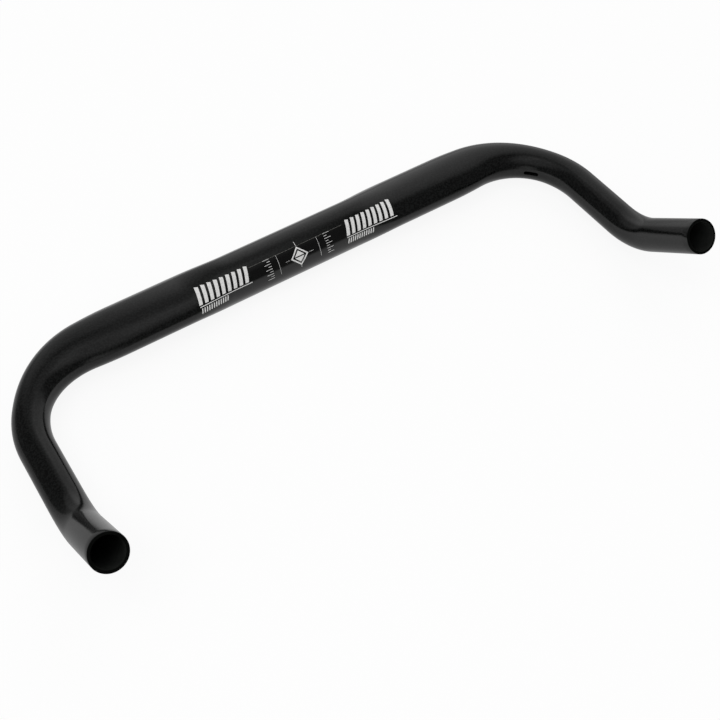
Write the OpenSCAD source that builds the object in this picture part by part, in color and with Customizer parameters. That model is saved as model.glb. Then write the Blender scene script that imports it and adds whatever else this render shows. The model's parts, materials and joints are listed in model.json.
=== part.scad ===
// Bullhorn handlebar: one bent and formed aluminium tube, open at both ends.
// The middle is round for the stem, the tops are pressed into a flat wing, and the tube is round
// again from the corner bends on, through the horns and the upturned ends. A small slot in the
// inside of the right corner lets a cable out of the tube.
// The origin is the middle of the bar. +X runs along the tops to one end, the horns point to -Y,
// which is forward on the bicycle, and the upturned ends rise to +Z.

/* [Clamp zone] */
// Outside diameter of the round middle, where the stem grips
clamp_d = 31.8; // [28:0.1:36]
// Length of the round middle, both sides together
clamp_len = 90; // [70:1:110]

/* [Wing tops] */
// Width of the flattened section, front to back
wing_w = 39.6; // [32:0.5:46]
// Thickness of the flattened section
wing_t = 24.8; // [20:0.2:28]
// Tilt of the flattened section, front edge up, in degrees
wing_tilt = 7.5; // [0:0.5:15]
// Distance of the flattened section's middle behind the tube's centre line
wing_set_back = 0.9; // [0:0.1:3]
// Length over which the round middle turns into the wing
wing_blend = 35; // [20:1:45]
// Distance before the corner bend at which the wing starts to turn round again
fade_lead = 21.5; // [10:0.5:35]
// Angle of the corner bend at which the section is fully round again
fade_angle = 62; // [45:1:80]

/* [Corner bends] */
// Straight length of each top, from the middle of the bar to its corner bend
top_len = 145; // [130:0.5:180]
// Radius of the corner bends, at the tube's centre line
corner_r = 57; // [45:1:80]
// Angle of the corner bends, where 90 makes the horns parallel
corner_angle = 89; // [82:0.5:95]

/* [Horns] */
// Outside diameter of the horns and of the upturned ends
horn_d = 22.2; // [20:0.1:24]
// Straight length between the corner bend and the upturn
horn_len = 39; // [15:1:90]
// Radius of the upturn, at the tube's centre line
upturn_r = 48; // [35:1:80]
// Angle by which the ends turn up
upturn_angle = 40; // [20:0.5:60]
// Lean of the upturned ends towards each other, in degrees
upturn_lean = 3; // [0:0.5:8]
// Straight length of each upturned end
tip_len = 47; // [30:1:90]

/* [Cable slot] */
// Length of the slot on the inside of the right corner, along the tube
slot_len = 10; // [8:0.5:16]
// Width of the slot
slot_w = 2.8; // [2.4:0.2:6]
// Angle of the corner bend at which the slot sits
slot_angle = 50.5; // [25:0.5:70]
// Height of the slot round the tube, in degrees above the level of the centre line
slot_rise = 2; // [-20:1:30]

/* [Wall] */
// Thickness of the tube's wall
wall = 2; // [1.6:0.1:3]
// Bevel that takes the sharp edge off the cut ends
edge_bevel = 0.5; // [0.2:0.1:0.8]

/* [Hidden] */
$fn = 96;
// Points round the swept section, and steps along each of its stretches, outside the tube
skin_point_count = 36;
skin_steps = 8;
// The same for the bore
bore_point_count = 24;
bore_steps = 5;
// Each stretch runs this far into its neighbour, and starts this much below the neighbour's skin
seam_lap = 1;
seam_step = 0.05;
// The bore is cut this far past the open ends
cut_past = 1;

clamp_half = clamp_len / 2;
fade_start = top_len - fade_lead;
fade_end = top_len + arc_length(fade_angle, corner_r);

function arc_length(angle, radius) = radius * angle * PI / 180;
function arc_angle(length, radius) = length / radius * 180 / PI;
function ease(t) = let (u = min(max(t, 0), 1)) u * u * (3 - 2 * u);

// How far the section has become a wing, and then a horn, at the distance s along the tube
function wing_share(s) = ease((s - clamp_half) / wing_blend);
function horn_share(s) = ease((s - fade_start) / (fade_end - fade_start));
function flatness(s) = wing_share(s) * (1 - horn_share(s));

// Half a size of the section at s, which goes from clamp to wing to horn
function half_size(s, wing_size) =
    let (wing = mix(clamp_d / 2 - seam_step, wing_size / 2, wing_share(s)))
    mix(wing, horn_d / 2 - 2 * seam_step, horn_share(s));
function mix(from, to, share) = from + (to - from) * share;

// Angle that the tube has turned through at s, and its centre line there
function turned(s) = arc_angle(max(s - top_len, 0), corner_r);
function centre(s) =
    s <= top_len
    ? [s, 0, 0]
    : [top_len + corner_r * sin(turned(s)), corner_r * (cos(turned(s)) - 1), 0];

// One point of the section at s: forward and up are measured in the section's own plane
function skin_point(s, angle, inset) =
    let (
        forward = (half_size(s, wing_w) - inset) * cos(angle),
        up = (half_size(s, wing_t) - inset) * sin(angle),
        tilt = wing_tilt * flatness(s),
        out = wing_set_back * flatness(s) - forward * cos(tilt) + up * sin(tilt),
        rise = forward * sin(tilt) + up * cos(tilt),
        turn = turned(s)
    )
    centre(s) + [out * sin(turn), out * cos(turn), rise];

// Distances along the tube at which the section is drawn, closer where it changes
function stations(steps) = concat(
    [clamp_half - seam_lap],
    [for (i = [0:steps]) clamp_half + wing_blend * i / steps],
    [for (i = [0:steps - 1]) fade_start + fade_lead * i / steps],
    [for (i = [0:2 * steps]) top_len + (fade_end - top_len) * i / (2 * steps)],
    [fade_end + seam_lap]
);

// The formed stretch of the right half, from the clamp zone into the corner bend
module formed_stretch(inset, points, steps) {
    at = stations(steps);
    rings = len(at);
    skin = [for (s = at) for (i = [0:points - 1]) skin_point(s, 360 * i / points, inset)];
    sides = [
        for (r = [0:rings - 2])
            for (i = [0:points - 1])
                let (a = r * points + i, b = r * points + (i + 1) % points)
                    each [[a, b, b + points], [a, b + points, a + points]]
    ];
    first = [for (i = [points - 1:-1:0]) i];
    last = [for (i = [0:points - 1]) (rings - 1) * points + i];
    polyhedron(points = skin, faces = concat([first, last], sides), convexity = 4);
}

// A round straight stretch along +X
module straight(length, r) {
    rotate([0, 90, 0])
        cylinder(h = length, r = r);
}

// The end of the corner bend: +X runs on along the horn, +Y points outwards
module at_horn() {
    translate(centre(top_len + arc_length(corner_angle, corner_r)))
        rotate([0, 0, -corner_angle])
            children();
}

// The start of the upturned end: +X runs on along it
module at_tip() {
    at_horn()
        translate([horn_len, 0, 0])
            rotate([upturn_lean, 0, 0])
                translate([upturn_r * sin(upturn_angle), 0, upturn_r * (1 - cos(upturn_angle))])
                    rotate([0, -upturn_angle, 0])
                        children();
}

// A round bend about the origin, from +X towards +Y, with a lap beyond its end and a lap before
// its start where it begins on a straight stretch
module bend(radius, angle, r, lap_before) {
    lap = arc_angle(seam_lap, radius);
    rotate([0, 0, -lap * lap_before])
        rotate_extrude(angle = angle + lap * (1 + lap_before))
            translate([radius, 0])
                circle(r = r - seam_step);
}

// The last of the corner bend, where the tube is round
module corner_tail(r) {
    translate([top_len, -corner_r, 0])
        rotate([180, 0, 90 - fade_angle])
            bend(corner_r, corner_angle - fade_angle, r, 0);
}

module upturn(r) {
    at_horn()
        translate([horn_len, 0, 0])
            rotate([90 + upturn_lean, 0, 0])
                translate([0, upturn_r, 0])
                    rotate([0, 0, -90])
                        bend(upturn_r, upturn_angle, r, 1);
}

// Everything but the ends, for the skin with no inset and for the bore inset by the wall
module body_form(inset, points, steps) {
    horn_r = horn_d / 2 - inset;
    translate([-clamp_half, 0, 0])
        straight(clamp_len, clamp_d / 2 - inset);
    for (side = [0, 1])
        mirror([side, 0, 0]) {
            formed_stretch(inset, points, steps);
            corner_tail(horn_r);
            at_horn()
                straight(horn_len, horn_r);
            upturn(horn_r);
        }
}

// An upturned end as a solid rod, with its outer edge bevelled
module tip_skin() {
    straight(tip_len - edge_bevel, horn_d / 2);
    translate([tip_len - edge_bevel, 0, 0])
        rotate([0, 90, 0])
            cylinder(h = edge_bevel, r1 = horn_d / 2, r2 = horn_d / 2 - edge_bevel);
}

// The bore of an upturned end, with its mouth bevelled
module tip_bore() {
    bore_r = horn_d / 2 - wall;
    straight(tip_len + cut_past, bore_r);
    translate([tip_len - edge_bevel, 0, 0])
        rotate([0, 90, 0])
            cylinder(h = edge_bevel + cut_past, r1 = bore_r, r2 = bore_r + edge_bevel + cut_past);
}

module both_tips() {
    for (side = [0, 1])
        mirror([side, 0, 0])
            at_tip()
                children();
}

// The cable slot as a solid: it runs from the centre line out through the inner wall of the corner
module slot_cut() {
    between_ends = slot_len - slot_w;
    reach = wing_w / 2 + cut_past;
    translate(centre(top_len + arc_length(slot_angle, corner_r)))
        rotate([90 - slot_rise, 0, -slot_angle]) {
            translate([-between_ends / 2, -slot_w / 2, 0])
                cube([between_ends, slot_w, reach]);
            for (side = [-1, 1])
                translate([side * between_ends / 2, 0, 0])
                    cylinder(h = reach, r = slot_w / 2);
        }
}

module bar_tube() {
    color("#17181b")
        difference() {
            union() {
                body_form(0, skin_point_count, skin_steps);
                both_tips()
                    tip_skin();
            }
            body_form(wall, bore_point_count, bore_steps);
            both_tips()
                tip_bore();
            slot_cut();
        }
}

bar_tube();
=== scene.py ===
# %% [markdown]
# # A bullhorn handlebar in gloss black
# The real bar is one aluminium tube. A workshop presses the tops of a straight tube flat, bends the
# two corners and the two ends, cuts a slot for a cable, paints the whole bar and prints a few white
# marks on it. This lesson sets up the camera, the light and the finishes, and then makes the bar in
# the workshop's order. Everything is in metres. The origin is the middle of the bar, +X runs along
# the tops, the horns point to -Y and the ends turn up to +Z.

import json
import math

import bpy
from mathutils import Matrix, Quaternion, Vector


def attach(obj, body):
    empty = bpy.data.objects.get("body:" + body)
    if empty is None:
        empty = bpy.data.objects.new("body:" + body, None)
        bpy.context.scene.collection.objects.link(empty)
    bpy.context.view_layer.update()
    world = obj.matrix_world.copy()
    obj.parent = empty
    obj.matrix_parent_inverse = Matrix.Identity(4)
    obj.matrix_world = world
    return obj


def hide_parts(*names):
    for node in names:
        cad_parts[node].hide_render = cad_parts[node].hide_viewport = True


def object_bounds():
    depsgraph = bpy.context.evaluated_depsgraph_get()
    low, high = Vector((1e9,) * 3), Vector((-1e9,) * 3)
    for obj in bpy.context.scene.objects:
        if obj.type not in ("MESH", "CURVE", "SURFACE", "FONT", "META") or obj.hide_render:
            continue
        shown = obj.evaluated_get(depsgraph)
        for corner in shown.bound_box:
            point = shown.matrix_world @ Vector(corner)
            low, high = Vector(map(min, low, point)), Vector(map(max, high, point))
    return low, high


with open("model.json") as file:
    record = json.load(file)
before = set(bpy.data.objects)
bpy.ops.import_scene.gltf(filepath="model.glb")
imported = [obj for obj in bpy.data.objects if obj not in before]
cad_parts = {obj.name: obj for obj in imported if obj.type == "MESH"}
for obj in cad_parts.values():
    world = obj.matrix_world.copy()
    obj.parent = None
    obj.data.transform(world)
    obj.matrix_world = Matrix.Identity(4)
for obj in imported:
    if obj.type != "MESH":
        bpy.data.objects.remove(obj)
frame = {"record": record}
cad_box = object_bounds()


def rounded(place):
    """The coordinates of a place, short enough to print."""
    return tuple(round(value, 4) for value in place)


print("box of the part, lowest and highest corner:", *(rounded(corner) for corner in cad_box))

# %% [markdown]
# ## Sizes
# The record of the part states where other parts fasten to it, so those sizes are read and not
# written again. The sizes that only the shape needs are written here once, in millimetres, because
# that is how the drawing of a tube gives them.

# %% Sizes read from the record
MM = 0.001
mounts = {mount["name"]: mount for mount in frame["record"]["mounts"]}


def mount_size(name, size):
    return mounts[name]["dims"][size] * MM


clamp_r = mount_size("stem_clamp", "r_mm")
clamp_half = mount_size("stem_clamp", "length_mm") / 2
horn_r = mount_size("grip_right", "r_mm")
wall = horn_r - mount_size("end_bore_right", "r_mm")
print(f"clamp radius {clamp_r:.4f}, horn radius {horn_r:.4f}, wall {wall:.4f}")

# %% Sizes of the shape
WING_WIDTH = 39.6 * MM
WING_THICKNESS = 24.8 * MM
WING_TILT = math.radians(7.5)
WING_SET_BACK = 0.9 * MM
WING_BLEND = 35 * MM
FADE_LEAD = 21.5 * MM
FADE_ANGLE = math.radians(62)

TOP_LENGTH = 145 * MM
CORNER_RADIUS = 57 * MM
CORNER_ANGLE = math.radians(89)

HORN_LENGTH = 39 * MM
UPTURN_RADIUS = 48 * MM
UPTURN_ANGLE = math.radians(40)
UPTURN_LEAN = math.radians(3)
EDGE_BEVEL = 0.5 * MM
tip_length = mount_size("grip_right", "length_mm") + EDGE_BEVEL

fade_start = TOP_LENGTH - FADE_LEAD
fade_end = TOP_LENGTH + FADE_ANGLE * CORNER_RADIUS
corner_end = TOP_LENGTH + CORNER_ANGLE * CORNER_RADIUS
print(f"the formed tube is {corner_end / MM:.1f} mm long from the middle to the end of its corner")

# %% [markdown]
# ## Camera
# The camera stands in front of the bar, a little to its left and high above it, and looks down.
# Its place is given by two angles and a distance from a point on the table, which is easier to think
# about than three coordinates. It is turned a little about its own line of sight, as a camera in
# the hand is. Its lens and its sensor are in millimetres, as Blender wants them.

# %% Camera
CAMERA_AZIMUTH = math.radians(-33.86)
CAMERA_ELEVATION = math.radians(51.8)
CAMERA_ROLL = math.radians(0.66)
CAMERA_DISTANCE = 717.04 * MM
CAMERA_TARGET = Vector((-10.73, -100.93, 0)) * MM
CAMERA_LENS = 58.73
CAMERA_SENSOR = 36
CAMERA_CLIP = 100


def direction(azimuth, elevation):
    """The direction towards a place at these angles: azimuth 0 is in front of the bar, at -Y."""
    level = math.cos(elevation)
    return Vector((math.sin(azimuth) * level, -math.cos(azimuth) * level, math.sin(elevation)))


def add_camera():
    back = direction(CAMERA_AZIMUTH, CAMERA_ELEVATION)
    bpy.ops.object.camera_add(location=CAMERA_TARGET + back * CAMERA_DISTANCE)
    camera = bpy.context.object
    camera.name = "camera"
    camera.rotation_mode = "QUATERNION"
    camera.rotation_quaternion = back.to_track_quat("Z", "Y") @ Quaternion((0, 0, 1), CAMERA_ROLL)
    camera.data.sensor_width = CAMERA_SENSOR
    camera.data.lens = CAMERA_LENS
    camera.data.clip_start = CAMERA_DISTANCE / CAMERA_CLIP
    camera.data.clip_end = CAMERA_DISTANCE * CAMERA_CLIP
    bpy.context.scene.camera = camera
    return camera


camera = add_camera()
print("camera at", rounded(camera.location))

# %% [markdown]
# ## Writing a material as a formula
# A material is a tree of nodes. Typed out node by node it is hard to read, so one small class wraps
# the output of a node. Adding or multiplying two of them adds a Math node, and the formula in the
# script then looks like the formula on paper.

# %% Helpers for node trees
class Wire:
    """The output of a node. Sums and products of wires add Math nodes to their tree."""

    def __init__(self, tree, socket):
        self.tree = tree
        self.socket = socket

    def math(self, operation, first, second):
        return add_node(self.tree, "Math", {0: first, 1: second}, operation=operation)

    def __add__(self, other):
        return self.math("ADD", self, other)

    def __radd__(self, other):
        return self.math("ADD", other, self)

    def __mul__(self, other):
        return self.math("MULTIPLY", self, other)

    def __rmul__(self, other):
        return self.math("MULTIPLY", other, self)


def add_node(tree, kind, sockets=None, output=0, **settings):
    """Adds a shader node: its settings first, then the value or the wire of each named socket."""
    node = tree.nodes.new("ShaderNode" + kind)
    for name, value in settings.items():
        setattr(node, name, value)
    for name, value in (sockets or {}).items():
        if isinstance(value, Wire):
            tree.links.new(value.socket, node.inputs[name])
        else:
            node.inputs[name].default_value = value
    return Wire(tree, node.outputs[output]) if node.outputs else None


def new_material(name):
    """An empty material and its node tree."""
    material = bpy.data.materials.new(name)
    material.use_nodes = True
    material.node_tree.nodes.clear()
    return material, material.node_tree


def smooth_step(value, low, high):
    """0 below low, 1 above high and a soft S between them."""
    sockets = {"Value": value, "From Min": low, "From Max": high}
    return add_node(value.tree, "MapRange", sockets, interpolation_type="SMOOTHSTEP")


MIX_FACTOR, MIX_FIRST, MIX_SECOND, MIX_RESULT = 0, 6, 7, 2


def mix_colours(share, first, second):
    """first where share is 0 and second where it is 1. A Mix node keeps its colours in slots 6 and 7."""
    sockets = {MIX_FACTOR: share, MIX_FIRST: first, MIX_SECOND: second}
    return add_node(share.tree, "Mix", sockets, output=MIX_RESULT, data_type="RGBA")


# %% [markdown]
# ## Table and background
# The bar lies on a white table in front of a white wall. The table takes the lamps' light and keeps
# the bar's soft shadow. To the camera it also glows, so it looks as white as paper without the lamps
# being turned up. In a mirror it glows less, so the bar's own shadow shows in the paint, and there
# the light on the table is a pool: it is brightest near the bar and falls to a grey further away.
# The wall is the world's background, and it lights the bar a little less than it looks.

# %% Table and background
WHITE = (1, 1, 1, 1)
TABLE_SIZE = 12
TABLE_COLOUR = (0.9, 0.9, 0.9, 1)
TABLE_GLOW = 0.9
MIRRORED_GLOW = 0.5
POOL_MIDDLE = (0.01, -0.04, 0)
POOL_FULL = 0.04
POOL_END = 0.3
POOL_LIGHT = 1.35
POOL_EDGE_COLOUR = (0.38, 0.38, 0.38, 1)
AMBIENT = 0.55


def seen_directly(tree):
    """1 for the rays of the camera, of mirrors and of glass, and 0 for light on its way about."""
    rays = tree.nodes.new("ShaderNodeLightPath").outputs
    kinds = [Wire(tree, rays[name]) for name in ("Is Camera Ray", "Is Glossy Ray", "Is Transmission Ray")]
    return add_node(tree, "Math", {0: kinds[0] + kinds[1] + kinds[2], 1: 1}, operation="MINIMUM")


def white_table():
    """Paper that glows. To mirror rays it fades with the distance from the middle of the pool."""
    material, tree = new_material("white_table")
    place = add_node(tree, "TexCoord", output="Object")
    sockets = {0: place, 1: POOL_MIDDLE}
    distance = add_node(tree, "VectorMath", sockets, output="Value", operation="DISTANCE")
    mirrored = add_node(tree, "LightPath", output="Is Glossy Ray")
    faded = mirrored * smooth_step(distance, POOL_FULL, POOL_END)
    paper = add_node(tree, "BsdfDiffuse", {"Color": mix_colours(faded, TABLE_COLOUR, POOL_EDGE_COLOUR)})
    brightness = mirrored * (POOL_LIGHT - 1) + 1
    colour = mix_colours(faded, WHITE, POOL_EDGE_COLOUR)
    glow = add_node(tree, "Emission", {"Color": colour, "Strength": brightness})
    share = seen_directly(tree) * (TABLE_GLOW + mirrored * (MIRRORED_GLOW - TABLE_GLOW))
    mixed = add_node(tree, "MixShader", {0: share, 1: paper, 2: glow})
    add_node(tree, "OutputMaterial", {"Surface": mixed})
    return material


def add_table():
    bpy.ops.mesh.primitive_plane_add(size=TABLE_SIZE, location=(0, 0, cad_box[0].z))
    table = bpy.context.object
    table.name = "table"
    table.data.materials.append(white_table())
    return table


def light_the_room():
    world = bpy.data.worlds.new("white_room")
    world.use_nodes = True
    tree = world.node_tree
    tree.nodes.clear()
    level = seen_directly(tree) * (1 - AMBIENT) + AMBIENT
    background = add_node(tree, "Background", {"Color": WHITE, "Strength": level})
    add_node(tree, "OutputWorld", {"Surface": background})
    bpy.context.scene.world = world


table = add_table()
light_the_room()
bpy.context.scene.view_settings.view_transform = "Standard"
print("table at", rounded(table.location))

# %% [markdown]
# ## Tent
# A black gloss shows hardly any light of its own: what the eye sees on it is the room, mirrored. The
# room of the photograph is white below and behind the bar and dark round the camera. A photographer
# builds such a room from sheets of cloth. Here it is one big sphere round the bar, dark except for a
# few soft sheets of light. Only mirror rays see it, so it changes the reflections and leaves the
# lamps, the shadow and the background alone.

# %% Tent
TENT_RADIUS = 0.7
TENT_DARK = 0.15
TENT_SEGMENTS = 32
TENT_RINGS = 16
# where each sheet hangs, how far it reaches from its middle, both in degrees, and how bright it is
SHEETS = {
    "rear wall": dict(azimuth=155, elevation=-10, inner=61, outer=72, light=0.11),
    "side window": dict(azimuth=128, elevation=20, inner=32, outer=50, light=0.52),
    "back window": dict(azimuth=178, elevation=28, inner=24, outer=37, light=0.22),
    "low front": dict(azimuth=-25, elevation=3, inner=0, outer=28, light=0.61),
    "ceiling": dict(azimuth=-28, elevation=66, inner=1, outer=40, light=0.46),
    "ceiling lamp": dict(azimuth=29, elevation=71, inner=10, outer=15, light=0.19),
    "ceiling behind": dict(azimuth=141, elevation=76, inner=14, outer=26, light=0.25),
}


def sheet_light(tree, towards, azimuth, elevation, inner, outer, light):
    """The light of one sheet: full within the inner angle of its middle, gone past the outer."""
    middle = direction(math.radians(azimuth), math.radians(elevation))
    sockets = {0: towards, 1: middle}
    facing = add_node(tree, "VectorMath", sockets, output="Value", operation="DOT_PRODUCT")
    edge, full = math.cos(math.radians(outer)), math.cos(math.radians(inner))
    return smooth_step(facing, edge, full) * light


def add_tent():
    bpy.ops.mesh.primitive_uv_sphere_add(segments=TENT_SEGMENTS, ring_count=TENT_RINGS, radius=TENT_RADIUS)
    tent = bpy.context.object
    tent.name = "tent"
    material, tree = new_material("tent_cloth")
    place = add_node(tree, "TexCoord", output="Object")
    towards = add_node(tree, "VectorMath", {0: place}, operation="NORMALIZE")
    light = TENT_DARK
    for sheet in SHEETS.values():
        light = sheet_light(tree, towards, **sheet) + light
    glow = add_node(tree, "Emission", {"Color": WHITE, "Strength": light})
    add_node(tree, "OutputMaterial", {"Surface": glow})
    tent.data.materials.append(material)
    for kind in ("camera", "diffuse", "transmission", "volume_scatter", "shadow"):
        setattr(tent, "visible_" + kind, False)


add_tent()
print("sheets of light in the tent:", ", ".join(SHEETS))

# %% [markdown]
# ## Lamps
# Two wide round lamps light the table and the ink: one high in front on the left, one behind on the
# right. A wide lamp gives a soft shadow. Mirror rays don't see the lamps, because the sheets of the
# tent already make the reflections.

# %% Lamps
LAMP_SIZE = 1.6
# angles in degrees, distance from the middle of the bar in metres, power in watts
LAMPS = {
    "lamp_above": dict(azimuth=-60, elevation=65, distance=1.8, power=13),
    "lamp_behind": dict(azimuth=130, elevation=40, distance=1.8, power=6),
}


def add_lamp(name, azimuth, elevation, distance, power):
    towards = direction(math.radians(azimuth), math.radians(elevation))
    bpy.ops.object.light_add(type="AREA", location=towards * distance)
    lamp = bpy.context.object
    lamp.name = name
    lamp.data.shape = "DISK"
    lamp.data.size = LAMP_SIZE
    lamp.data.energy = power
    lamp.rotation_mode = "QUATERNION"
    lamp.rotation_quaternion = towards.to_track_quat("Z", "Y")
    lamp.visible_glossy = False


for name, lamp in LAMPS.items():
    add_lamp(name, **lamp)
print("lamps:", ", ".join(LAMPS))

# %% [markdown]
# ## Paint
# The paint is a deep black under a smooth gloss. Sprayed paint is never quite even: it has a faint
# skin like an orange's, fine specks, and it is a little duller in some places than in others. All
# of it comes from noise on the object's own coordinates, so it stays on the bar when it is turned.
# The colour stays almost black everywhere, because the gloss brings all the light.

# %% Gloss black paint
PAINT_IOR = 1.38
PAINT_DARK = (0.0002, 0.0003, 0.0003, 1)
PAINT_LIGHT = (0.0056, 0.0060, 0.0058, 1)
PAINT_ROUGHNESS = 0.12
PAINT_ROUGHNESS_VARIATION = 0.06
CLOUD_SCALE = 45
SPECK_SCALE = 900
SPECK_LOW = 0.38
SPECK_HIGH = 0.66
PEEL_SCALE = 700
PEEL_HEIGHT = 0.02 * MM
PEEL_STRENGTH = 0.12


def noise(tree, scale, detail):
    place = add_node(tree, "TexCoord", output="Object")
    return add_node(tree, "TexNoise", {"Vector": place, "Scale": scale, "Detail": detail})


def gloss_black():
    material, tree = new_material("gloss_black_paint")
    clouds = noise(tree, CLOUD_SCALE, detail=3)
    specks = smooth_step(noise(tree, SPECK_SCALE, detail=2), SPECK_LOW, SPECK_HIGH)
    peel = noise(tree, PEEL_SCALE, detail=1)
    bump = add_node(tree, "Bump", {"Strength": PEEL_STRENGTH, "Distance": PEEL_HEIGHT, "Height": peel})
    shader = add_node(tree, "BsdfPrincipled", {
        "Base Color": mix_colours(specks, PAINT_DARK, PAINT_LIGHT),
        "Roughness": clouds * PAINT_ROUGHNESS_VARIATION + PAINT_ROUGHNESS,
        "IOR": PAINT_IOR,
        "Normal": bump,
    })
    add_node(tree, "OutputMaterial", {"Surface": shader})
    return material


paint = gloss_black()
print("paint:", len(paint.node_tree.nodes), "nodes")

# %% [markdown]
# ## Dull bore and cut ends
# Spray hardly reaches the inside of a tube, and no gloss shows on the cut ends, so both are dark and
# dull. One plain black would look like a hole in the picture, so a little noise goes into the colour.
# The bore has the lighter colour of the two: painted light that lifts the tube's own shade inside it.

# %% Dull bore and cut ends
# the bore's lighter colours are painted light against the shade inside the tube
BORE_DARK = (0.008, 0.009, 0.008, 1)
BORE_LIGHT = (0.020, 0.021, 0.020, 1)
CUT_DARK = (0.0008, 0.0010, 0.0008, 1)
CUT_LIGHT = (0.0032, 0.0035, 0.0032, 1)
DULL_ROUGHNESS = 0.75
DULL_ROUGHNESS_VARIATION = 0.2
DULL_IOR = 1.12
DULL_SCALE = 220


def dull_finish(name, dark, light):
    material, tree = new_material(name)
    specks = noise(tree, DULL_SCALE, detail=4)
    shader = add_node(tree, "BsdfPrincipled", {
        "Base Color": mix_colours(specks, dark, light),
        "Roughness": specks * DULL_ROUGHNESS_VARIATION + DULL_ROUGHNESS,
        "IOR": DULL_IOR,
    })
    add_node(tree, "OutputMaterial", {"Surface": shader})
    return material


bore_finish = dull_finish("dull_bore", BORE_DARK, BORE_LIGHT)
cut_finish = dull_finish("cut_end", CUT_DARK, CUT_LIGHT)
print("dull finishes:", bore_finish.name, "and", cut_finish.name)

# %% [markdown]
# ## White print and clear film
# The marks are white ink, and in the middle of the bar a clear film lies under them. Both could be
# painted into the colour of the tube. Here they are thin pieces with finishes of their own, as on
# the real bar. A grain makes the ink a little thinner in some places. The film takes the colour of
# the black paint under it, and it is smoother than the paint. Along its top edge, a thin strip is
# coloured light grey as a painted highlight where that edge catches the light.

# %% White print and clear film
PRINT_THIN = (0.58, 0.58, 0.57, 1)
PRINT_FULL = (0.73, 0.73, 0.72, 1)
GRAIN_SCALE = 1500
GRAIN_LOW = 0.3
GRAIN_HIGH = 0.6
PRINT_ROUGHNESS = 0.4
PRINT_ROUGHNESS_VARIATION = 0.1
FILM_THIN = (0.0012, 0.0012, 0.0012, 1)
FILM_FULL = (0.0030, 0.0029, 0.0029, 1)
FILM_ROUGHNESS = 0.06
# the light grey of the film's top edge is a painted highlight, not the film's own colour
FILM_TOP_HIGHLIGHT_THIN = (0.05, 0.05, 0.045, 1)
FILM_TOP_HIGHLIGHT_FULL = (0.13, 0.13, 0.12, 1)


def printed_layer(name, thin, full, roughness):
    """A layer on the paint that is a little thinner in some places than in others."""
    material, tree = new_material(name)
    grain = noise(tree, GRAIN_SCALE, detail=2)
    shader = add_node(tree, "BsdfPrincipled", {
        "Base Color": mix_colours(smooth_step(grain, GRAIN_LOW, GRAIN_HIGH), thin, full),
        "Roughness": grain * PRINT_ROUGHNESS_VARIATION + roughness,
        "IOR": PAINT_IOR,
    })
    add_node(tree, "OutputMaterial", {"Surface": shader})
    return material


print_finish = printed_layer("white_print", PRINT_THIN, PRINT_FULL, PRINT_ROUGHNESS)
film_finish = printed_layer("clear_film", FILM_THIN, FILM_FULL, FILM_ROUGHNESS)
# the finish of the film's top edge: a painted highlight in light grey
film_top_highlight_finish = printed_layer("film_top_highlight", FILM_TOP_HIGHLIGHT_THIN, FILM_TOP_HIGHLIGHT_FULL, PRINT_ROUGHNESS)
print("printed finishes:", print_finish.name, film_finish.name, film_top_highlight_finish.name)

# %% [markdown]
# ## Working on a mesh from a script
# By hand, one picks points with the mouse. A script picks them by their place: it deselects
# everything, then selects the points for which a test is true.

# %% Helpers for editing
def leave_edit_mode():
    if bpy.context.object and bpy.context.object.mode != "OBJECT":
        bpy.ops.object.mode_set(mode="OBJECT")


def select_alone(piece):
    leave_edit_mode()
    bpy.ops.object.select_all(action="DESELECT")
    piece.select_set(True)
    bpy.context.view_layer.objects.active = piece


def work_on(piece):
    """Selects this piece alone and opens it for editing."""
    select_alone(piece)
    bpy.ops.object.mode_set(mode="EDIT")


def select_points(piece, wanted):
    """Selects the points that pass the test, and nothing else."""
    bpy.ops.mesh.select_all(action="DESELECT")
    bpy.ops.object.mode_set(mode="OBJECT")
    chosen = [wanted(point) for point in piece.data.vertices]
    piece.data.vertices.foreach_set("select", chosen)
    bpy.ops.object.mode_set(mode="EDIT")


def apply_modifier(piece, kind, **settings):
    """Adds a modifier, sets it and applies it at once."""
    select_alone(piece)
    bpy.ops.object.modifier_add(type=kind)
    modifier = piece.modifiers[-1]
    for name, value in settings.items():
        setattr(modifier, name, value)
    bpy.ops.object.modifier_apply(modifier=modifier.name)


# %% [markdown]
# ## The tube, still straight
# Half of the bar is drawn as a straight tube along +X, ring after ring: extrude the last ring, move
# it on and scale it. The rings stand close together where the section or the path bends. An ease
# curve takes the section from the round clamp zone to the flat wing and back to the round horn, so
# the skin has no corner anywhere. Distances along the tube start at the middle of the bar.

# %% Section of the tube
def ease(share):
    share = min(max(share, 0), 1)
    return share * share * (3 - 2 * share)


def wing_share(s):
    return ease((s - clamp_half) / WING_BLEND)


def horn_share(s):
    return ease((s - fade_start) / (fade_end - fade_start))


def flatness(s):
    return wing_share(s) * (1 - horn_share(s))


def half_size(s, wing_size):
    """Half a size of the section at the distance s from the middle, along the tube."""
    wing = clamp_r + (wing_size / 2 - clamp_r) * wing_share(s)
    return wing + (horn_r - wing) * horn_share(s)


def evenly(start, end, spacing):
    """Distances after start, up to end, no further apart than the spacing."""
    count = math.ceil((end - start) / spacing)
    return [start + (end - start) * i / count for i in range(1, count + 1)]


RING_POINTS = 96
WIDE_SPACING = 6 * MM
CLOSE_SPACING = 2 * MM
wing_start = clamp_half + WING_BLEND
rings = (
    evenly(0, clamp_half, WIDE_SPACING)
    + evenly(clamp_half, wing_start, CLOSE_SPACING)
    + evenly(wing_start, fade_start, WIDE_SPACING)
    + evenly(fade_start, corner_end, CLOSE_SPACING)
)
print(len(rings), "rings in the formed half")


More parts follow.
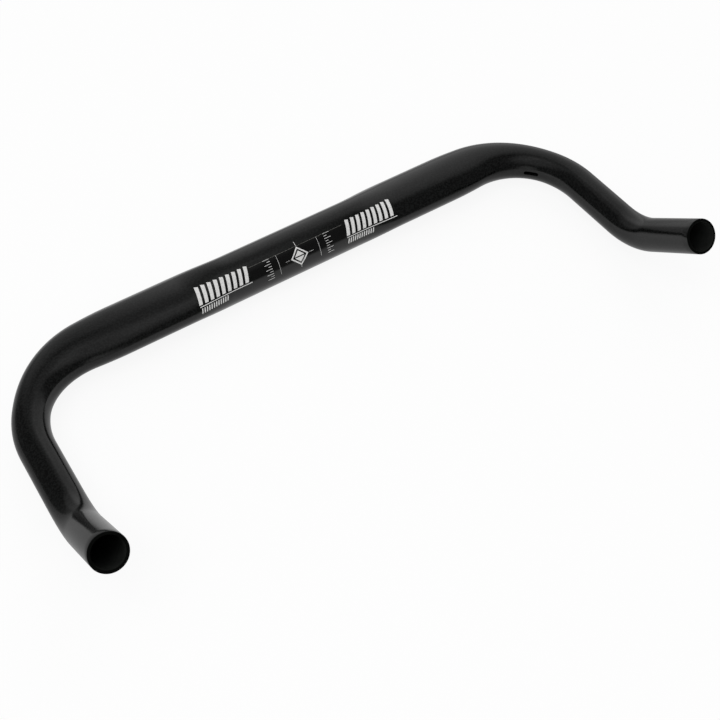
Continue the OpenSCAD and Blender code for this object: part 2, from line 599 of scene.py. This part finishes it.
# %% Draw the straight tube
def draw_straight_tube():
    leave_edit_mode()
    bpy.ops.object.select_all(action="DESELECT")
    bpy.ops.mesh.primitive_circle_add(vertices=RING_POINTS, radius=clamp_r, rotation=(0, math.pi / 2, 0))
    tube = bpy.context.object
    tube.name = "bent_bar_tube"
    bpy.ops.object.transform_apply(location=True, rotation=True, scale=True)
    work_on(tube)
    bpy.ops.mesh.select_all(action="SELECT")
    before = 0
    for s in rings:
        width = half_size(s, WING_WIDTH) / half_size(before, WING_WIDTH)
        height = half_size(s, WING_THICKNESS) / half_size(before, WING_THICKNESS)
        bpy.ops.mesh.extrude_region_move(TRANSFORM_OT_translate={"value": (s - before, 0, 0)})
        bpy.ops.transform.resize(value=(1, width, height), center_override=(s, 0, 0))
        before = s
    return tube


tube = draw_straight_tube()
print("points of the straight tube:", len(tube.data.vertices))

# %% [markdown]
# ## Bending the corner
# The bend could be a Curve or a Simple Deform modifier, but then the wing's tilt would have to be
# put in some other way. Here each ring is taken in turn, tilted, set back, turned about the up axis
# and moved to its place on the bend, which is all that a bend does to a section.
# Without a window, rotate turns clockwise for a positive angle, and here that is the way wanted.

# %% Bend it
TOUCH = 0.01 * MM


def turned(s):
    return max(s - TOP_LENGTH, 0) / CORNER_RADIUS


def centre(s):
    """The tube's centre line at s: straight, then round the corner."""
    if s <= TOP_LENGTH:
        return Vector((s, 0, 0))
    turn = turned(s)
    return Vector((TOP_LENGTH + CORNER_RADIUS * math.sin(turn), CORNER_RADIUS * (math.cos(turn) - 1), 0))


def settle_ring(piece, s, members):
    """Tilts, sets back, turns and moves the ring that was drawn at s."""
    select_points(piece, lambda point: point.index in members)
    here = Vector((s, 0, 0))
    tilt = WING_TILT * flatness(s)
    if tilt:
        bpy.ops.transform.rotate(value=tilt, orient_axis="X", center_override=here)
        bpy.ops.transform.translate(value=(0, WING_SET_BACK * flatness(s), 0))
    if turned(s):
        bpy.ops.transform.rotate(value=turned(s), orient_axis="Z", center_override=here)
        bpy.ops.transform.translate(value=centre(s) - here)


def members_of_ring(piece, s):
    return {point.index for point in piece.data.vertices if abs(point.co.x - s) < TOUCH}


# each ring's points are noted by their place while the tube is still straight
leave_edit_mode()
formed = {s: members_of_ring(tube, s) for s in rings if flatness(s) or turned(s)}
work_on(tube)
for s, members in formed.items():
    settle_ring(tube, s, members)
print("end of the corner:", rounded(centre(corner_end)))

# %% [markdown]
# ## Horn, upturn and end
# From the corner on, the tube is round, so its last ring is extruded along the horn, spun about an
# axis for the upturn and extruded again for the straight end. The plane of the upturn leans inwards
# a little, as it does on the real bar, so the axis is worked out from the horn's direction and a
# leaned up direction. The record's grip mount tells where the end should be, which checks the work.

# %% Horn, upturn and end
HORN_SPACING = 6 * MM
UPTURN_STEPS = 18


def last_ring(piece, on_it, along):
    select_points(piece, lambda point: (point.co - on_it).dot(along) > -TOUCH)


def extrude_on(along, length, spacing):
    """Extrudes what is selected in even steps that are no longer than the spacing."""
    count = math.ceil(length / spacing)
    step = {"value": along * (length / count)}
    for _ in range(count):
        bpy.ops.mesh.extrude_region_move(TRANSFORM_OT_translate=step)


horn_along = Vector((math.cos(CORNER_ANGLE), -math.sin(CORNER_ANGLE), 0))
horn_outward = Vector((math.sin(CORNER_ANGLE), math.cos(CORNER_ANGLE), 0))
leaned_up = Vector((0, 0, math.cos(UPTURN_LEAN))) - horn_outward * math.sin(UPTURN_LEAN)
upturn_start = centre(corner_end) + horn_along * HORN_LENGTH
upturn_centre = upturn_start + leaned_up * UPTURN_RADIUS
upturn_axis = leaned_up.cross(horn_along)
last_spoke = horn_along * math.sin(UPTURN_ANGLE) - leaned_up * math.cos(UPTURN_ANGLE)
tip_along = horn_along * math.cos(UPTURN_ANGLE) + leaned_up * math.sin(UPTURN_ANGLE)
tip_start = upturn_centre + last_spoke * UPTURN_RADIUS
tip_end = tip_start + tip_along * tip_length

last_ring(tube, centre(corner_end), horn_along)
extrude_on(horn_along, HORN_LENGTH, HORN_SPACING)
bpy.ops.mesh.spin(steps=UPTURN_STEPS, angle=UPTURN_ANGLE, center=upturn_centre, axis=upturn_axis)
last_ring(tube, tip_start, tip_along)
extrude_on(tip_along, tip_length, HORN_SPACING)
leave_edit_mode()

grip = mounts["grip_right"]
miss = (Vector(grip["pos_m"]) - tip_start).cross(tip_along).length
print("the end is at", rounded(tip_end), f"and {miss / MM:.4f} mm off the mount's axis")

# %% [markdown]
# ## Other half, wall and edges
# A Mirror modifier gives the left half and joins it at the middle. The faces are turned outwards
# before the Solidify modifier adds the wall, because on a closed shell that would turn the inside
# round. The same modifier gives the bore and the rims their own finishes. The two ends get a small
# bevel, which is what a file leaves on a cut tube.

# %% Other half, wall and edges
END_BEVEL_SEGMENTS = 3


def face_outwards(piece):
    work_on(piece)
    bpy.ops.mesh.select_all(action="SELECT")
    bpy.ops.mesh.remove_doubles(threshold=TOUCH)
    bpy.ops.mesh.normals_make_consistent(inside=False)
    leave_edit_mode()
    top = max(piece.data.polygons, key=lambda face: face.center.z - abs(face.center.x))
    if top.normal.z < 0:
        work_on(piece)
        bpy.ops.mesh.select_all(action="SELECT")
        bpy.ops.mesh.flip_normals()
        leave_edit_mode()


def at_an_end(point):
    mirrored = Vector((abs(point.co.x), point.co.y, point.co.z))
    return abs((mirrored - tip_end).dot(tip_along)) < TOUCH and (mirrored - tip_end).length < 2 * horn_r


def bevel_the_ends(piece):
    work_on(piece)
    bpy.ops.mesh.select_mode(type="VERT")
    select_points(piece, at_an_end)
    bpy.ops.mesh.select_mode(type="EDGE")
    bpy.ops.mesh.region_to_loop()
    bpy.ops.mesh.bevel(offset=EDGE_BEVEL, segments=END_BEVEL_SEGMENTS)
    leave_edit_mode()


apply_modifier(tube, "MIRROR", use_axis=(True, False, False), merge_threshold=TOUCH)
face_outwards(tube)
for finish in (paint, bore_finish, cut_finish):
    tube.data.materials.append(finish)
apply_modifier(
    tube, "SOLIDIFY", thickness=wall, offset=-1, use_even_offset=True,
    material_offset=1, material_offset_rim=2,
)
bevel_the_ends(tube)
print("tube with its wall:", len(tube.data.polygons), "faces")

# %% [markdown]
# ## Cable slot
# A slot in the inside of the right corner lets a cable out of the tube. Its cutter is a cylinder
# that is pulled apart in the middle, so it has two round ends. It starts at the centre line and goes
# out through the inner wall only, and a Boolean modifier takes it away from the tube.

# %% Cable slot
SLOT_LENGTH = 10 * MM
SLOT_WIDTH = 2.8 * MM
SLOT_ANGLE = math.radians(50.5)
SLOT_RISE = math.radians(2)
SLOT_POINTS = 32
SLOT_BEVEL = 0.2 * MM
SLOT_BEVEL_SEGMENTS = 2
SHARP_EDGE = math.radians(60)
TUBE_SMOOTH_ANGLE = math.radians(25)
cutter_depth = WING_WIDTH / 2


def add_slot_cutter():
    half_segment = math.pi / SLOT_POINTS
    bpy.ops.mesh.primitive_cylinder_add(
        vertices=SLOT_POINTS, radius=SLOT_WIDTH / 2, depth=cutter_depth, rotation=(0, 0, half_segment)
    )
    bpy.ops.object.transform_apply(location=True, rotation=True, scale=True)
    cutter = bpy.context.object
    work_on(cutter)
    for side in (-1, 1):
        select_points(cutter, lambda point: point.co.x * side > 0)
        bpy.ops.transform.translate(value=(side * (SLOT_LENGTH - SLOT_WIDTH) / 2, 0, 0))
    leave_edit_mode()
    inwards = Vector((-math.sin(SLOT_ANGLE), -math.cos(SLOT_ANGLE), 0))
    through = inwards * math.cos(SLOT_RISE) + Vector((0, 0, math.sin(SLOT_RISE)))
    cutter.rotation_euler = (math.pi / 2 - SLOT_RISE, 0, -SLOT_ANGLE)
    cutter.location = centre(TOP_LENGTH + SLOT_ANGLE * CORNER_RADIUS) + through * cutter_depth / 2
    return cutter


def cut_slot(piece):
    cutter = add_slot_cutter()
    apply_modifier(piece, "BOOLEAN", operation="DIFFERENCE", solver="EXACT", object=cutter)
    bpy.data.objects.remove(cutter)
    work_on(piece)
    bpy.ops.mesh.select_mode(type="EDGE")
    bpy.ops.mesh.select_all(action="DESELECT")
    bpy.ops.mesh.edges_select_sharp(sharpness=SHARP_EDGE)
    bpy.ops.mesh.bevel(offset=SLOT_BEVEL, segments=SLOT_BEVEL_SEGMENTS)
    bpy.ops.mesh.select_mode(type="VERT")
    leave_edit_mode()


cut_slot(tube)
bpy.ops.object.shade_smooth_by_angle(angle=TUBE_SMOOTH_ANGLE)

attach(tube, "root")
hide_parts("bar_tube")
print("tube:", len(tube.data.vertices), "points,", len(tube.data.polygons), "faces")

# %% [markdown]
# ## Printed marks
# The marks are drawn flat, as on the film of a screen print, and then wrapped onto the tube. A
# Shrinkwrap modifier projects the flat drawing along its own Z, so it also fits where the round
# clamp zone swells into the wing. The bars are grids of small cells, because a flat face can't bend.
# A Solidify modifier then gives each mark a thickness. Its underside lies just inside the paint, so
# that no gap can show, and the ink stands a little higher than the clear film.
# The drawing faces the angle at which the marks are read. A height in it is an angle round the tube,
# which is given in degrees, up from the front.

# %% Helpers for the drawing
READING_ANGLE = 31
DRAWING_DISTANCE = 40 * MM
CELL = 0.8 * MM
FILM_LIFT = 0
FILM_THICKNESS = 0.04 * MM
INK_LIFT = 0.02 * MM
INK_THICKNESS = 0.06 * MM
INK_SMOOTH_ANGLE = math.radians(30)


def drawn_height(angle):
    """Height in the drawing of a line at this angle round the clamp zone, up from the front."""
    return clamp_r * math.sin(math.radians(angle - READING_ANGLE))


def new_drawing(name):
    leave_edit_mode()
    bpy.ops.object.add(type="MESH")
    drawing = bpy.context.object
    drawing.name = name
    work_on(drawing)
    return drawing


def draw_bar(left, right, low, high, slant=0):
    """A flat bar of small cells, turned by the slant, in degrees to the right."""
    width, height = right - left, high - low
    middle = ((left + right) / 2, (low + high) / 2, 0)
    columns, rows = math.ceil(width / CELL), math.ceil(height / CELL)
    bpy.ops.mesh.primitive_grid_add(x_subdivisions=columns, y_subdivisions=rows, size=1, location=middle)
    bpy.ops.transform.resize(value=(width, height, 1), center_override=middle)
    if slant:
        bpy.ops.transform.rotate(value=math.radians(slant), orient_axis="Z", center_override=middle)


def trim(low, high):
    """Cuts what is selected off below low and above high."""
    for height, side in ((low, -1), (high, 1)):
        bpy.ops.mesh.bisect(plane_co=(0, height, 0), plane_no=(0, side, 0), clear_outer=True)


def print_onto_tube(drawing, finish=print_finish, lift=INK_LIFT, thickness=INK_THICKNESS):
    """Turns the drawing to its angle, wraps it onto the tube and gives it its thickness."""
    leave_edit_mode()
    up = math.radians(READING_ANGLE)
    drawing.rotation_euler = (math.pi / 2 - up, 0, 0)
    drawing.location = Vector((0, -math.cos(up), math.sin(up))) * DRAWING_DISTANCE
    apply_modifier(
        drawing, "SHRINKWRAP", target=tube, wrap_method="PROJECT", use_project_z=True,
        use_positive_direction=False, use_negative_direction=True, offset=lift,
    )
    bpy.ops.object.transform_apply(location=True, rotation=True, scale=True)
    apply_modifier(drawing, "SOLIDIFY", thickness=thickness, offset=0)
    bpy.ops.object.shade_smooth_by_angle(angle=INK_SMOOTH_ANGLE)
    drawing.data.materials.append(finish)
    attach(drawing, "root")
    print(drawing.name, len(drawing.data.polygons), "faces")


# %% [markdown]
# ## Clear film
# The film shows only as a smoother field in the middle of the bar, with a fine light line where it
# ends above. It is one large bar of the drawing, and the line is a second, narrow bar along its top,
# whose light grey colour is a painted highlight of the film's edge.

# %% Clear film
FILM_HALF_LENGTH = 35 * MM
FILM_ANGLES = (-2, 56.8)
FILM_TOP_HIGHLIGHT_WIDTH = 0.2 * MM

film = new_drawing("clear_film")
film_low, film_high = (drawn_height(angle) for angle in FILM_ANGLES)
draw_bar(-FILM_HALF_LENGTH, FILM_HALF_LENGTH, film_low, film_high)
print_onto_tube(film, film_finish, FILM_LIFT, FILM_THICKNESS)

# a narrow strip along the film's top edge, coloured light grey as a painted highlight
film_top_highlight = new_drawing("film_top_highlight")
draw_bar(-FILM_HALF_LENGTH, FILM_HALF_LENGTH, film_high - FILM_TOP_HIGHLIGHT_WIDTH, film_high)
print_onto_tube(film_top_highlight, film_top_highlight_finish)

# %% [markdown]
# ## Stem scale
# Beside the stem a scale tells how far the bar is turned in it. Each side has one upright line and
# nine ticks, long and short in turn. The ticks are even in angle, as they are on a real scale, so
# they stand closer together in the flat drawing where the tube curves away.

# %% Stem scale
FINE_LINE = 0.28 * MM
SCALE_LINE = 0.18 * MM
SCALE_LINE_AT = 15.2 * MM
SCALE_AT = 20.3 * MM
TICKS = 9
LONG_TICK = 4.7 * MM
SHORT_TICK = 2.3 * MM
SCALE_ANGLES = (6.5, 56)


def draw_scale(side):
    """The line and the ticks of one side, which is 1 for the right and -1 for the left."""
    low, high = (drawn_height(angle) for angle in SCALE_ANGLES)
    draw_bar(side * SCALE_LINE_AT - SCALE_LINE / 2, side * SCALE_LINE_AT + SCALE_LINE / 2, low, high)
    for tick in range(TICKS):
        angle = SCALE_ANGLES[0] + (SCALE_ANGLES[1] - SCALE_ANGLES[0]) * tick / (TICKS - 1)
        length = SHORT_TICK if tick % 2 else LONG_TICK
        ends = sorted((side * SCALE_AT, side * (SCALE_AT + length)))
        height = drawn_height(angle)
        draw_bar(*ends, height - FINE_LINE / 2, height + FINE_LINE / 2)


stem_scale = new_drawing("stem_scale")
for side in (-1, 1):
    draw_scale(side)
print_onto_tube(stem_scale)

# %% [markdown]
# ## Centre mark
# A mark shows the middle of the bar: a hollow diamond round a small solid one with a slit, and a
# fine line on each of its four sides. A circle of four points is already a diamond. Its outline is
# extruded and scaled inwards, which keeps the band even. The core is a square that stands on its
# corner and is cut in two.

# %% Centre mark
MARK_HALF = 6.5 * MM
MARK_BAND = 0.9 * MM
MARK_CORE = 3.9 * MM
MARK_SLIT = 0.8 * MM
ARM_REACH = 10.5 * MM
ARM_WIDTH = 0.17 * MM
EDGE_CUTS = 11
UPRIGHT_ANGLES = ((0, 5.5), (56, 68))


def draw_diamond():
    """A hollow diamond: its outline, extruded and scaled towards the middle."""
    middle = (0, drawn_height(READING_ANGLE), 0)
    bpy.ops.mesh.primitive_circle_add(vertices=4, radius=MARK_HALF, location=middle)
    bpy.ops.mesh.subdivide(number_cuts=EDGE_CUTS)
    inner = 1 - MARK_BAND * math.sqrt(2) / MARK_HALF
    bpy.ops.mesh.extrude_region_move()
    bpy.ops.transform.resize(value=(inner, inner, 1), center_override=middle)


def draw_core(side):
    """Half of the small solid diamond, above the slit for side 1 and below it for -1."""
    half = MARK_CORE / math.sqrt(2)
    draw_bar(-half, half, -half, half, slant=45)
    bpy.ops.mesh.bisect(plane_co=(0, side * MARK_SLIT / 2, 0), plane_no=(0, side, 0), clear_inner=True)


centre_mark = new_drawing("centre_mark")
draw_diamond()
for side in (-1, 1):
    draw_core(side)
    ends = sorted((side * (MARK_HALF + MARK_BAND), side * ARM_REACH))
    draw_bar(*ends, -ARM_WIDTH / 2, ARM_WIDTH / 2)
for angles in UPRIGHT_ANGLES:
    draw_bar(-FINE_LINE / 2, FINE_LINE / 2, *(drawn_height(angle) for angle in angles))
print_onto_tube(centre_mark)

# %% [markdown]
# ## Bands of print
# Outside the scale a band of print lies on each side: a row of wide slanted strokes, a fine rule and
# a row of small strokes. A stroke is a bar that is drawn too long, turned and then trimmed to its
# row, so that its ends are level.

# %% Bands of print
BAND_FROM = 36 * MM
BAND_TO = 74.5 * MM
BAND_ANGLES = (26, 60)
STROKE_PITCH = 4.35 * MM
STROKE_WIDTH = 2.4 * MM
STROKE_SLANT = 14
UNTRIMMED_REACH = 0.6
RULE_ANGLE = 21.8
RULE_WIDTH = 0.5 * MM
NOTE_ANGLES = (5, 17)
NOTE_LENGTH = 20.5 * MM
NOTE_PITCH = 1.7 * MM
NOTE_WIDTH = 0.75 * MM


def draw_strokes(left, right, angles, pitch, width):
    """A row of slanted strokes that fills a band of the drawing."""
    low, high = (drawn_height(angle) for angle in angles)
    lean = (high - low) * math.tan(math.radians(STROKE_SLANT)) / 2
    reach = (high - low) * UNTRIMMED_REACH
    middle = (low + high) / 2
    first, last = left + lean + width / 2, right - lean - width / 2
    count = round((last - first) / pitch) + 1
    for stroke in range(count):
        x = first + (last - first) * stroke / (count - 1)
        draw_bar(x - width / 2, x + width / 2, middle - reach, middle + reach, slant=STROKE_SLANT)
        trim(low, high)


def draw_band(left, right):
    draw_strokes(left, right, BAND_ANGLES, STROKE_PITCH, STROKE_WIDTH)
    rule = drawn_height(RULE_ANGLE)
    draw_bar(left, right, rule - RULE_WIDTH / 2, rule + RULE_WIDTH / 2)
    draw_strokes(left, left + NOTE_LENGTH, NOTE_ANGLES, NOTE_PITCH, NOTE_WIDTH)


for name, ends in {"left_band": (-BAND_TO, -BAND_FROM), "right_band": (BAND_FROM, BAND_TO)}.items():
    band = new_drawing(name)
    draw_band(*ends)
    print_onto_tube(band)
